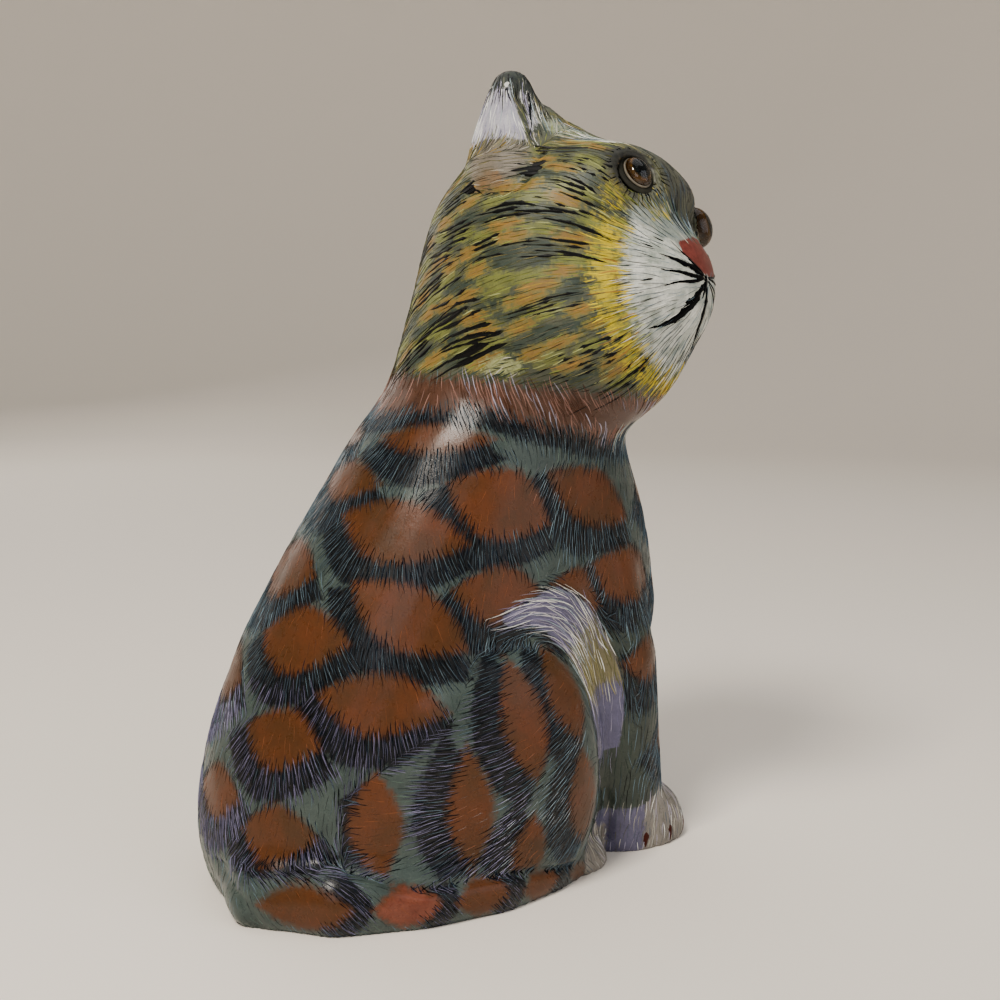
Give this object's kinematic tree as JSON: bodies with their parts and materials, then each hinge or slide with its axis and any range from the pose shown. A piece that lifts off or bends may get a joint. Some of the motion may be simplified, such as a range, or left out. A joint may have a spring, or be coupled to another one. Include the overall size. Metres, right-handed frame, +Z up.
{
  "type": "painted wooden cat figurine",
  "caption": "Hand-carved sitting cat ornament in painted wood, head turned to one side, with glass eyes and a flat underside that it stands on.",
  "frame": {"origin": "on the flat underside, below the middle of the cat's bounding box", "axes": "+Z up through the ears, -Y the way the chest and front paws face, -X the cat's right side, towards which its head is turned"},
  "size_m": [0.0648, 0.0873, 0.135],
  "materials": {
    "painted_wood": "hand-painted in flat colours with fine brush strokes under satin varnish",
    "eye_glass": "polished amber glass"
  },
  "bodies": {
    "root": {"carved_cat": "painted_wood", "eye_right": "eye_glass", "eye_left": "eye_glass"}
  },
  "joints": []
}
